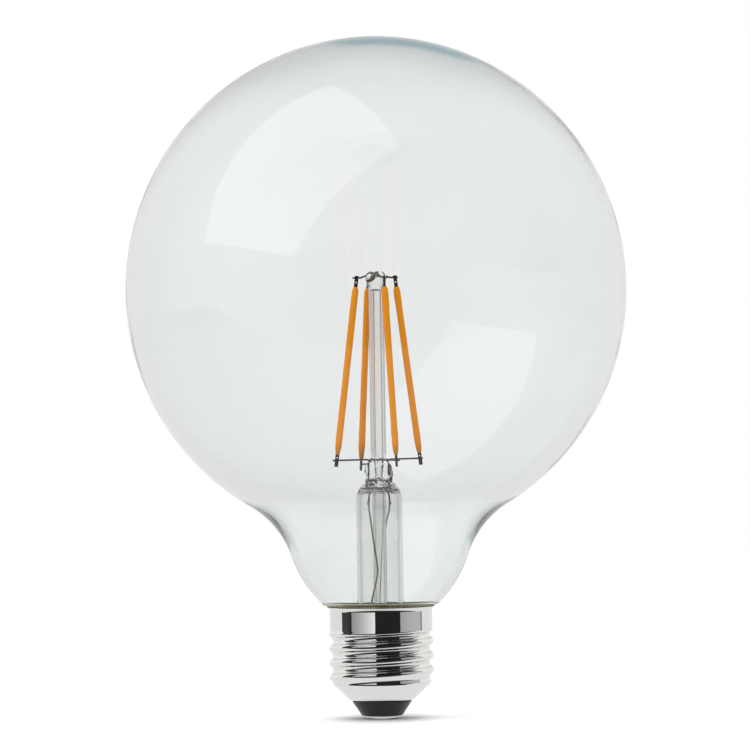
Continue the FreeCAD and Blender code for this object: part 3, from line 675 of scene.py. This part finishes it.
def on_pinch(place):
    """How far a place on the stem is lumpy: fully on the outside of the pinch, not at all elsewhere."""
    pinch_foot = 57.6 * MM
    pinch_top = 63 * MM
    soft_edge = 1.5 * MM
    core_radius = 2.6 * MM
    over_foot = fade((place.z - pinch_foot) / soft_edge)
    over_top = fade((place.z - pinch_top) / soft_edge)
    return over_foot * (1 - over_top) * (math.hypot(place.x, place.y) > core_radius)


class BULB_OT_stem(bpy.types.Operator):
    """Draw, flare and pinch the glass stem with its post and button"""

    bl_idname = "bulb.stem"
    bl_label = "Stem"

    def execute(self, context):
        sizes = context.scene.bulb_glass
        post = sizes.post_radius / MM
        tube = sizes.stem_radius / MM
        button = [(0, 111.7), (1.0, 111.7), (1.75, 111.55), (2.3, 111.1), (2.58, 110.4), (2.58, 109.7),
                  (2.35, 108.8), (2.08, 108.0), (post, 107.2)]
        pinch = [(post, 66.0), (2.0, 64.7), (2.45, 64.05), (3.1, 63.55), (3.43, 62.8), (3.45, 61.6),
                 (3.32, 60.6), (3.4, 59.6), (3.5, 58.9), (4.2, 58.35), (4.95, 57.4), (5.45, 56.3),
                 (5.7, 55.3), (tube, 54.2)]
        flare = [(tube, 31.4), (5.9, 29.6), (6.5, 27.2), (7.6, 24.6), (9.1, 22.2), (10.0, 21.0)]
        inner = [(8.7, 19.9), (7.75, 21.9), (6.3, 24.8), (5.2, 27.6), (4.72, 30.2), (4.65, 32.0)]
        dome = [(4.65, 54.2), (4.5, 55.4), (4.0, 56.3), (3.1, 57.0), (2.2, 57.3), (1.75, 57.0), (1.65, 56.2)]
        tip = [(1.65, 17.4), (1.45, 16.8), (1.0, 16.5), (0, 16.4)]
        outside = flowing(button, 3) + flowing(pinch, 5) + flowing(flare, 5) + [(10.0, 19.9)]
        outside += flowing(inner, 5) + flowing(dome, 3) + flowing(tip, 2)
        bore = flowing([(0, 107.3), (0.7, 107.25), (1.0, 106.9), (1.0, 106.0)], 3)
        bore += [(1.0, z) for z in (90, 70, 50, 30, 19)] + flowing([(1.0, 18.2), (0.6, 17.6), (0, 17.5)], 3)
        stem = lathe("stem", in_metres(outside), steps=96, angle=50)
        channel = lathe("stem_bore", in_metres(bore), steps=48, angle=50)
        edit(channel)
        bpy.ops.mesh.select_all(action="SELECT")
        bpy.ops.mesh.flip_normals()
        bpy.ops.object.mode_set(mode="OBJECT")
        roughen(stem, size=2.2 * MM, height=1.1 * MM, test=on_pinch)
        flat_foot, flat_top = 60 * MM, 63.4 * MM
        edit(stem)
        select_where(stem, lambda co: flat_foot < co.z < flat_top)
        bpy.ops.transform.resize(
            value=(1, sizes.pinch_flatness, 1), use_proportional_edit=True, use_proportional_connected=True,
            proportional_edit_falloff="SMOOTH", proportional_size=2 * MM, center_override=(0, 0, 0))
        bpy.ops.object.mode_set(mode="OBJECT")
        pick(stem)
        channel.select_set(True)
        bpy.ops.object.join()
        dress(stem, stem_glass(context.scene.bulb_colours))
        stand_for(stem, "stem_glass", "glass_stem")
        return {"FINISHED"}


class BULB_OT_filaments(bpy.types.Operator):
    """Coat the four filaments"""

    bl_idname = "bulb.filaments"
    bl_label = "Filaments"

    def execute(self, context):
        sizes = context.scene.bulb_filaments
        material = phosphor_silicone(context.scene.bulb_colours, sizes)
        lean = math.atan2(sizes.foot_radius - sizes.top_radius, sizes.top_height - sizes.foot_height)
        strip = math.hypot(sizes.foot_radius - sizes.top_radius, sizes.top_height - sizes.foot_height)
        long = (strip - sizes.lower_gap - sizes.upper_gap) / MM
        thick = sizes.coat_radius / MM
        line = [(0, 0), (0.34, 0), (0.5, 0.12), (0.58, 0.6), (0.7, 1.4), (0.8, 2.3), (thick, 3.4),
                (thick - 0.02, 8), (thick - 0.02, long - 7), (thick, long - 2.6), (thick - 0.03, long - 1.1),
                (thick - 0.16, long - 0.35), (0.5, long - 0.04), (0.3, long), (0, long)]
        outline = flowing(line[:8], 4) + flowing(line[8:], 4)
        coat = lathe("filament_1_coat", in_metres(outline), steps=32)
        edit(coat)
        select_where(coat, lambda co: 7 * MM < co.z < (long - 6) * MM)
        bpy.ops.mesh.subdivide(number_cuts=2)
        bpy.ops.object.mode_set(mode="OBJECT")
        # Each filament's bearing, and how much lower it stands: the low one's coat makes up most of that.
        places = ((203, 0), (113, sizes.drop), (293, 0), (23, 0))
        made_up = 0.8
        for number, (bearing, drop) in enumerate(places, 1):
            piece = coat
            if number < len(places):
                pick(coat)
                bpy.ops.object.duplicate()
                piece = bpy.context.object
            name = f"filament_{number}"
            piece.name = piece.data.name = f"{name}_coat"
            turn = Matrix.Rotation(math.radians(bearing), 4, "Z")
            foot = Matrix.Translation((sizes.foot_radius, 0, sizes.foot_height - drop))
            upright = Matrix.Rotation(-lean, 4, "Y") @ Matrix.Translation((0, 0, sizes.lower_gap))
            taller = Matrix.Scale(1 + drop * made_up / (long * MM), 4, (0, 0, 1))
            piece.matrix_world = turn @ foot @ upright @ taller
            pick(piece)
            bpy.ops.object.transform_apply(location=True, rotation=True, scale=True)
            roughen(piece, size=2.4 * MM, height=0.14 * MM)
            dress(piece, material)
            stand_for(piece, "phosphor_coat", name)
        return {"FINISHED"}


def shell_radius(angle, height, cap):
    """Outer radius of the cap's sheet: cone, thread that runs in and out, collar and flared rim."""
    if height < cap.thread_bottom:
        share = (height - cap.cone_foot_height) / (cap.thread_bottom - cap.cone_foot_height)
        return cap.cone_foot_radius + (cap.root_radius - cap.cone_foot_radius) * share
    half = cap.thread_depth / 2
    quarter = cap.pitch / 4
    knuckle = (quarter ** 2 + half ** 2) / (2 * half)
    turns = (height - cap.crest_height) / cap.pitch - angle / math.tau
    away = abs(turns - round(turns)) * cap.pitch
    near = min(away, 2 * quarter - away)
    sag = knuckle - math.sqrt(knuckle ** 2 - near ** 2)
    form = half + (half - sag if away < quarter else sag - half)
    rise = fade((height - cap.thread_bottom) / cap.run_in)
    fall = fade((cap.thread_top - height) / cap.run_out)
    flare = min(max((height - cap.collar_top) / (cap.flare_top - cap.collar_top), 0), 1) ** 2
    plain = cap.collar_radius + (cap.rim_radius - cap.collar_radius) * flare
    return plain + (cap.root_radius + form * rise - plain) * fall


class BULB_OT_cap_shell(bpy.types.Operator):
    """Roll the threaded metal shell of the cap"""

    bl_idname = "bulb.cap_shell"
    bl_label = "Cap shell"

    def execute(self, context):
        cap = context.scene.bulb_cap
        top = cap.rim_top - cap.sheet / 2
        rows = spaced(cap.cone_foot_height, cap.thread_bottom, 8)
        rows += spaced(cap.thread_bottom, cap.thread_top, 90)
        rows += spaced(cap.thread_top, cap.collar_top, 6)
        rows += spaced(cap.collar_top, top, 12) + [top]
        round_up = [(math.cos(a), math.sin(a)) for a in (math.pi * i / 8 for i in range(1, 8))]
        outer = [(shell_radius(0, z, cap), z) for z in rows]
        inner = [(r - cap.sheet, z) for r, z in outer][::-1]
        bead = [(outer[-1][0] - cap.sheet / 2 * (1 - x), top + cap.sheet / 2 * y) for x, y in round_up]
        low_in = (cap.opening_radius, cap.cone_foot_height + cap.sheet)
        low_out = (cap.opening_radius, cap.cone_foot_height)
        line = outer + bead + inner[:-1] + [low_in, low_out, outer[0]]
        shell = lathe("cap_screw_shell", line, steps=180, angle=50)
        for vert in shell.data.vertices:
            r, z = math.hypot(vert.co.x, vert.co.y), vert.co.z
            if cap.thread_bottom < z < cap.thread_top:
                angle = math.atan2(vert.co.y, vert.co.x)
                inset = cap.sheet if r < shell_radius(0, z, cap) - cap.sheet / 2 else 0
                grown = (shell_radius(angle, z, cap) - inset) / r
                vert.co.x *= grown
                vert.co.y *= grown
        shell.data.update()
        dress(shell, drawn_metal(
            "bright_nickel_plated_brass", context.scene.bulb_colours.nickel,
            roughness=0.03, spread=0.06, grain=6, relief=0.008))
        stand_for(shell, "nickel_plate", "cap_shell")
        return {"FINISHED"}


class BULB_OT_cap_foot(bpy.types.Operator):
    """Mould the insulator and press the centre contact"""

    bl_idname = "bulb.cap_foot"
    bl_label = "Cap foot"

    def execute(self, context):
        colours = context.scene.bulb_colours
        cone = [(0, 0.75), (4.85, 0.75), (5.06, 0.8), (5.2, 0.97), (7.3, 4.1), (7.45, 4.38), (7.38, 4.5),
                (7.2, 4.55), (7.19, 4.7), (7.19, 5.01)]
        flange = [(7.9, 5.02), (8.6, 5.9), (6.5, 5.9), (0, 5.9)]
        insulator = lathe("cap_foot_insulator", in_metres(cone + flange), steps=120, angle=35)
        dress(insulator, moulded("black_moulded_insulator", colours.insulator, roughness=0.34, grain=0.6))
        stand_for(insulator, "black_insulator", "cap_insulator")
        dome = flowing([(1.5, 0), (2.6, 0.09), (3.6, 0.26), (4.35, 0.44), (4.66, 0.58), (4.69, 0.7)], 5)
        pin = [(4.66, 0.748), (1.25, 0.749), (1.25, 6.35), (0, 6.35)]
        contact = lathe("cap_foot_contact", in_metres([(0, 0)] + dome + pin), steps=120, angle=35)
        dress(contact, drawn_metal(
            "nickel_plated_contact", colours.contact, roughness=0.12, spread=0.1, grain=3, relief=0.08))
        stand_for(contact, "contact_metal", "centre_contact")
        return {"FINISHED"}


class BULB_OT_finishes(bpy.types.Operator):
    """Finish the wires, tabs and driver pieces that keep their CAD shape"""

    bl_idname = "bulb.finishes"
    bl_label = "Finishes"

    def execute(self, context):
        colours = context.scene.bulb_colours
        finishes = {
            "tab_steel": drawn_metal(
                "oxidised_strip_steel", colours.tab, roughness=0.4, spread=0.35, grain=0.8, relief=0.3),
            "lead_steel": drawn_metal(
                "nickel_iron_wire", colours.wire, roughness=0.3, spread=0.25, grain=1.5, relief=0.2),
            "seal_copper": drawn_metal(
                "copper_clad_seal_wire", colours.seal, roughness=0.4, spread=0.4, grain=1.2, relief=0.2),
            "tail_metal": drawn_metal(
                "tinned_copper_wire", colours.tail, roughness=0.35, spread=0.3, grain=2, relief=0.2),
            "circuit_board": moulded(
                "solder_mask_on_glass_epoxy", colours.board, roughness=0.35, grain=0.5),
            "component_black": moulded("black_epoxy_moulding", colours.epoxy, roughness=0.55, grain=0.25),
            "capacitor_sleeve": moulded(
                "shrunk_capacitor_sleeve", colours.sleeve, roughness=0.3, grain=0.8),
            "resistor_body": moulded("resistor_lacquer", colours.lacquer, roughness=0.4, grain=0.4),
        }
        for subpart in frame["record"]["subparts"]:
            material = finishes.get(subpart["material_slot"])
            if material:
                for slot in bpy.data.objects[subpart["node"]].material_slots:
                    slot.material = material
        return {"FINISHED"}


def studio_world():
    """White where the camera looks, a darker room in reflections and through glass, even light otherwise."""
    world = bpy.data.worlds.new("studio")
    world.use_nodes = True
    tree = world.node_tree
    tree.nodes.clear()
    rays = node(tree, "ShaderNodeLightPath").outputs
    way = node(tree, "ShaderNodeSeparateXYZ", {
        "Vector": node(tree, "ShaderNodeTexCoord").outputs["Generated"]}).outputs
    on_metal = node(tree, "ShaderNodeMapRange", {
        "Value": way["Y"], "From Min": 0.05, "From Max": 0.15, "To Min": 0.02, "To Max": 1.0})
    on_glass = node(tree, "ShaderNodeMapRange", {
        "Value": way["Y"], "From Min": 0.0, "From Max": 0.9, "To Min": 0.1, "To Max": 0.82})
    left = node(tree, "ShaderNodeMapRange", {
        "Value": way["X"], "From Min": -0.2, "From Max": -1.0, "To Min": 0.0, "To Max": 0.55})
    room = node(tree, "ShaderNodeMath", {0: on_glass.outputs[0], 1: left.outputs[0]}, operation="MAXIMUM")
    aside = node(tree, "ShaderNodeMath", {0: way["X"]}, operation="ABSOLUTE")
    ceiling = node(tree, "ShaderNodeMapRange", {
        "Value": aside.outputs[0], "From Min": 0.25, "From Max": 0.55, "To Min": 0.2, "To Max": 1.0})
    above = node(tree, "ShaderNodeMapRange", {
        "Value": way["Z"], "From Min": 0.1, "From Max": 0.7, "To Min": 1.0, "To Max": ceiling.outputs[0]})
    back = node(tree, "ShaderNodeMix", {
        "Factor": rays["Is Singular Ray"], 2: on_metal.outputs[0], 3: room.outputs[0]})
    mirrored = node(tree, "ShaderNodeMath", {0: back.outputs[0], 1: above.outputs[0]}, operation="MULTIPLY")
    sides = node(tree, "ShaderNodeMapRange", {
        "Value": aside.outputs[0], "From Min": 0.25, "From Max": 0.9, "To Min": 1.0, "To Max": 0.55})
    through = node(tree, "ShaderNodeMapRange", {
        "Value": way["Z"], "From Min": 0.35, "From Max": 0.8, "To Min": sides.outputs[0], "To Max": 0.15})
    bounced = node(tree, "ShaderNodeMath", {0: rays["Glossy Depth"], 1: 0.5}, operation="GREATER_THAN")
    shape = node(tree, "ShaderNodeMix", {
        "Factor": bounced.outputs[0], 2: through.outputs[0], 3: mirrored.outputs[0]})
    bent = node(tree, "ShaderNodeMath", {0: rays["Is Glossy Ray"], 1: rays["Is Transmission Ray"]},
                operation="MAXIMUM")
    sharp = node(tree, "ShaderNodeMath", {0: rays["Diffuse Depth"], 1: 0.5}, operation="LESS_THAN")
    looked = node(tree, "ShaderNodeMath", {0: bent.outputs[0], 1: sharp.outputs[0]}, operation="MULTIPLY")
    level = node(tree, "ShaderNodeMix", {"Factor": looked.outputs[0], 2: 0.9, 3: shape.outputs[0]})
    shown = node(tree, "ShaderNodeMix", {"Factor": rays["Is Camera Ray"], 2: level.outputs[0], 3: 1.0})
    sky = node(tree, "ShaderNodeBackground", {"Color": (1, 1, 1, 1), "Strength": shown.outputs[0]})
    node(tree, "ShaderNodeOutputWorld", {"Surface": sky.outputs[0]})
    return world


def reflected_card(name, start, end, distance, height, first, last):
    """A studio card between two bearings, lit from one level to another, which glass doesn't reflect."""
    bpy.ops.object.select_all(action="DESELECT")
    bpy.ops.mesh.primitive_grid_add(x_subdivisions=12, y_subdivisions=1, size=1)
    card = bpy.context.object
    card.name = card.data.name = name
    for vert in card.data.vertices:
        bearing = math.radians(start + (end - start) * (vert.co.x + 0.5))
        vert.co = (distance * math.sin(bearing), -distance * math.cos(bearing), height * (vert.co.y + 0.5))
    material, tree = blank(f"{name}_light")
    place = node(tree, "ShaderNodeTexCoord").outputs["Object"]
    across = node(tree, "ShaderNodeSeparateXYZ", {"Vector": place}).outputs["X"]
    level = node(tree, "ShaderNodeMapRange", {
        "Value": across, "From Min": distance * math.sin(math.radians(start)),
        "From Max": distance * math.sin(math.radians(end)), "To Min": first, "To Max": last})
    light = node(tree, "ShaderNodeEmission", {"Color": (1, 1, 1, 1), "Strength": level.outputs[0]})
    unseen = node(tree, "ShaderNodeBsdfTransparent")
    rays = node(tree, "ShaderNodeLightPath").outputs
    close(tree, node(tree, "ShaderNodeMixShader", {
        "Fac": rays["Is Singular Ray"], 1: light.outputs[0], 2: unseen.outputs[0]}).outputs[0])
    dress(card, material)
    card.visible_camera = card.visible_diffuse = card.visible_transmission = False
    card.visible_shadow = card.visible_volume_scatter = False


def white_paper():
    """Matt white paper for the floor."""
    # Lit like any surface and lifted to white where it is seen, except in an oval round the foot of the
    # bulb,
    # where the lift fades out: a painted contact shadow, deeper and longer than the real one. The metal
    # reflects it dark in front of the bulb, with painted shade just under the bulb, and the glass reflects
    # it dimmer than it is.
    material, tree = blank("matt_white_paper")
    place = node(tree, "ShaderNodeTexCoord").outputs["Object"]
    fibre = node(tree, "ShaderNodeTexNoise", {"Vector": place, "Scale": 1 / (2 * MM), "Detail": 2.0})
    tone = node(tree, "ShaderNodeMix", {
        "Factor": fibre.outputs["Fac"], 6: linear("#E6E6E6"), 7: linear("#E9E9E9")}, data_type="RGBA")
    paper = node(tree, "ShaderNodeBsdfDiffuse", {"Color": tone.outputs[2]})
    rays = node(tree, "ShaderNodeLightPath").outputs
    seen = node(tree, "ShaderNodeMath", {
        0: rays["Is Camera Ray"], 1: 1.6, 2: rays["Is Transmission Ray"]}, operation="MULTIPLY_ADD")
    # Painted contact shadow: the white lift fades to nothing in an oval round the foot, longer front to
    # back, so the floor stays darker there than its real shadow alone makes it.
    spot = node(tree, "ShaderNodeMapping", {"Vector": place, "Scale": (1.0, 0.45, 1.0)})
    painted_shadow_reach = node(tree, "ShaderNodeVectorMath", {0: spot.outputs["Vector"]}, operation="LENGTH")
    lift_outside_painted_shadow = node(tree, "ShaderNodeMapRange", {
        "Value": painted_shadow_reach.outputs["Value"], "From Min": 3 * MM, "From Max": 17 * MM,
        "To Min": 0.0, "To Max": 0.24}, interpolation_type="SMOOTHSTEP")
    lift = node(tree, "ShaderNodeMath", {
        0: seen.outputs[0], 1: lift_outside_painted_shadow.outputs["Result"]}, operation="MULTIPLY")
    glow = node(tree, "ShaderNodeEmission", {"Color": (1, 1, 1, 1), "Strength": lift.outputs[0]})
    bright = node(tree, "ShaderNodeAddShader", {0: paper.outputs[0], 1: glow.outputs[0]})
    depth = node(tree, "ShaderNodeSeparateXYZ", {"Vector": place}).outputs["Y"]
    on_metal = node(tree, "ShaderNodeMapRange", {
        "Value": depth, "From Min": -30 * MM, "From Max": -18 * MM, "To Min": 0.02, "To Max": 0.92})
    bearing = node(tree, "ShaderNodeVectorMath", {0: place}, operation="NORMALIZE")
    behind = node(tree, "ShaderNodeSeparateXYZ", {"Vector": bearing.outputs["Vector"]}).outputs["Y"]
    away = node(tree, "ShaderNodeVectorMath", {0: place}, operation="LENGTH")
    near = node(tree, "ShaderNodeMapRange", {
        "Value": away.outputs["Value"], "From Min": 150 * MM, "From Max": 900 * MM,
        "To Min": 0.38, "To Max": 0.1})
    on_glass = node(tree, "ShaderNodeMapRange", {
        "Value": behind, "From Min": 0.0, "From Max": 0.9,
        "To Min": near.outputs["Result"], "To Max": 0.82})
    # Painted shade: within a few millimetres of the axis the floor's image in the metal is dimmed, standing
    # in for the bulb's shadow that the emitted image does not show.
    under = node(tree, "ShaderNodeMapRange", {
        "Value": away.outputs["Value"], "From Min": 5 * MM, "From Max": 9 * MM,
        "To Min": 0.75, "To Max": 1.0})
    metal_image_with_painted_shade = node(tree, "ShaderNodeMath", {
        0: on_metal.outputs[0], 1: under.outputs[0]}, operation="MULTIPLY")
    level = node(tree, "ShaderNodeMix", {
        "Factor": rays["Is Singular Ray"], 2: metal_image_with_painted_shade.outputs[0], 3: on_glass.outputs[0]})
    image = node(tree, "ShaderNodeEmission", {"Color": (1, 1, 1, 1), "Strength": level.outputs[0]})
    bounced = node(tree, "ShaderNodeMath", {0: rays["Glossy Depth"], 1: 0.5}, operation="GREATER_THAN")
    close(tree, node(tree, "ShaderNodeMixShader", {
        "Fac": bounced.outputs[0], 1: bright.outputs[0], 2: image.outputs[0]}).outputs[0])
    return material


def lay_floor(sizes):
    """The sheet of paper that the bulb stands on, a hair under the contact."""
    hair = 0.02 * MM
    bpy.ops.object.select_all(action="DESELECT")
    bpy.ops.mesh.primitive_plane_add(size=1)
    floor = bpy.context.object
    floor.name = floor.data.name = "floor"
    floor.scale = (sizes.floor_width, sizes.floor_depth, 1)
    floor.location = (0, sizes.floor_back, -hair)
    bpy.ops.object.transform_apply(location=True, rotation=True, scale=True)
    dress(floor, white_paper())


def hang_softbox(scene, sizes):
    """The one lamp: a large softbox high on the left, in front of the bulb and turned towards it."""
    lamp = bpy.data.lights.new("softbox", "AREA")
    lamp.shape = "RECTANGLE"
    lamp.size = sizes.softbox_width
    lamp.size_y = sizes.softbox_height
    lamp.energy = sizes.softbox_power
    softbox = bpy.data.objects.new("softbox", lamp)
    scene.collection.objects.link(softbox)
    middle = Vector((-0.576, -0.32, 0.976))
    across = Vector((0.496, -0.867, -0.024))
    up = Vector((0.729, 0.299, 0.616))
    out = Vector((-0.527, -0.323, 0.780))
    turn = Matrix((across, up, out)).transposed().to_4x4()
    softbox.matrix_world = Matrix.Translation(middle) @ turn
    softbox.visible_camera = False


def set_camera(scene, sizes):
    """The camera with a long lens, nearly level with the middle of the bulb."""
    lens = bpy.data.cameras.new("camera")
    lens.sensor_width = 36
    lens.lens = sizes.focal_length
    lens.clip_end = 20
    camera = bpy.data.objects.new("camera", lens)
    scene.collection.objects.link(camera)
    tilt = sizes.camera_tilt
    aim = Vector((sizes.aim_aside, 0, sizes.aim_height))
    back = sizes.camera_distance * Vector((0, -math.cos(tilt), math.sin(tilt)))
    look = Matrix.Rotation(math.pi / 2 - tilt, 4, "X")
    camera.matrix_world = Matrix.Translation(aim + back) @ look @ Matrix.Rotation(sizes.camera_roll, 4, "Z")
    scene.camera = camera


class BULB_OT_stage(bpy.types.Operator):
    """Set the floor, the soft studio light and the camera"""

    bl_idname = "bulb.stage"
    bl_label = "Stage"

    def execute(self, context):
        scene = context.scene
        sizes = scene.bulb_stage
        lay_floor(sizes)
        hang_softbox(scene, sizes)
        # Each card's name, the bearings of its ends in degrees, its height and the level at each end.
        cards = (
            ("left_flag", -96, -68, 300 * MM, 0.06, 0.02),
            ("left_card", -68, -13, 200 * MM, 0.35, 1.0),
            ("right_card", 43, 98, 200 * MM, 0.42, 0.56),
            ("right_flag", 98, 102, 30 * MM, 0.2, 0.2),
        )
        for name, start, end, height, first, last in cards:
            reflected_card(name, start, end, sizes.card_distance, height, first, last)
        scene.world = studio_world()
        set_camera(scene, sizes)
        scene.view_settings.view_transform = "Standard"
        scene.cycles.max_bounces = 32
        scene.cycles.transmission_bounces = 32
        scene.cycles.glossy_bounces = 8
        scene.cycles.transparent_max_bounces = 32
        scene.cycles.caustics_refractive = False
        scene.cycles.caustics_reflective = False
        return {"FINISHED"}


class BULB_PT_pieces(bpy.types.Panel):
    """Lists the bulb's pieces, sizes and colours"""

    bl_idname = "BULB_PT_pieces"
    bl_label = "Globe Bulb"
    bl_space_type = "VIEW_3D"
    bl_region_type = "UI"
    bl_category = "Bulb"

    def draw(self, context):
        for step in OPERATORS:
            self.layout.operator(step.bl_idname)
        for group in SETTINGS:
            settings = getattr(context.scene, group)
            box = self.layout.box()
            for name in settings.bl_rna.properties.keys():
                if name not in {"rna_type", "name"}:
                    box.prop(settings, name)


OPERATORS = (
    BULB_OT_globe,
    BULB_OT_cement,
    BULB_OT_stem,
    BULB_OT_filaments,
    BULB_OT_cap_shell,
    BULB_OT_cap_foot,
    BULB_OT_finishes,
    BULB_OT_stage,
)
SETTINGS = {
    "bulb_glass": GlassSizes,
    "bulb_filaments": FilamentSizes,
    "bulb_cap": CapSizes,
    "bulb_stage": StageSizes,
    "bulb_colours": BulbColours,
}


def register():
    """Register the settings, the operators and the panel."""
    for name, group in SETTINGS.items():
        bpy.utils.register_class(group)
        setattr(bpy.types.Scene, name, PointerProperty(type=group))
    for step in (*OPERATORS, BULB_PT_pieces):
        bpy.utils.register_class(step)


def unregister():
    """Take the panel, the operators and the settings out again."""
    for step in (BULB_PT_pieces, *reversed(OPERATORS)):
        bpy.utils.unregister_class(step)
    for name, group in SETTINGS.items():
        delattr(bpy.types.Scene, name)
        bpy.utils.unregister_class(group)


def main():
    """Build the bulb and its stage."""
    register()
    bpy.ops.bulb.globe()
    bpy.ops.bulb.cement()
    bpy.ops.bulb.stem()
    bpy.ops.bulb.filaments()
    bpy.ops.bulb.cap_shell()
    bpy.ops.bulb.cap_foot()
    bpy.ops.bulb.finishes()
    bpy.ops.bulb.stage()


if __name__ == "__main__":
    main()
